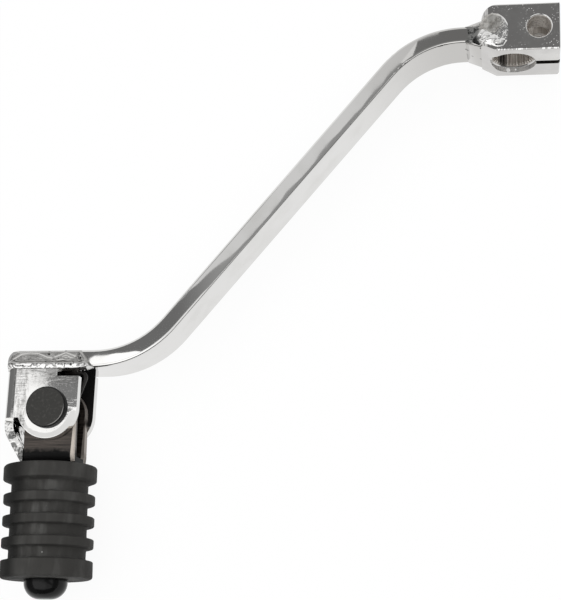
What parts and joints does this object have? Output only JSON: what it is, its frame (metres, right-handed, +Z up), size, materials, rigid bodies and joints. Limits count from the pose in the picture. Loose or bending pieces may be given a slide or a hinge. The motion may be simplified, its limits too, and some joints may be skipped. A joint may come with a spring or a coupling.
{
  "type": "folding gear lever",
  "caption": "Bent flat steel gear lever with a splined pinch clamp at one end and a sprung, folding rubber-covered toe peg at the other.",
  "frame": {"origin": "middle of the splined bore, on its axis", "axes": "+Y along the bore towards the engine, so the toe peg points to -Y; +X from the bore to the slit end of the clamp; +Z up, square to the bar (the pinch bolt leans 2 degrees from it)"},
  "size_m": [0.1549, 0.1663, 0.026],
  "materials": {
    "chrome_steel": "bright plate over steel",
    "weld_bead": "plated weld",
    "black_steel": "black",
    "raw_steel": "dull, brushed along its length",
    "spring_steel": "drawn wire",
    "rubber": "moulded, matte"
  },
  "bodies": {
    "lever": {"spline_boss": "chrome_steel", "boss_weld": "weld_bead", "lever_bar": "chrome_steel", "tip_bracket": "chrome_steel", "upper_bracket_weld": "weld_bead", "lower_bracket_weld": "weld_bead", "pivot_pin": "black_steel", "torsion_spring": "spring_steel"},
    "peg": {"peg_bracket": "raw_steel", "peg_rod": "black_steel", "toe_rubber": "rubber"}
  },
  "joints": [
    {"name": "peg_fold", "type": "hinge", "parent": "lever", "child": "peg", "pos_m": [-0.128, -0.1075, 0], "axis": [0, 0, 1], "range_deg": [0, 85], "stiffness_Nm_per_rad": 0.15, "springref_deg": -85.94, "deforming": ["torsion_spring"]}
  ]
}
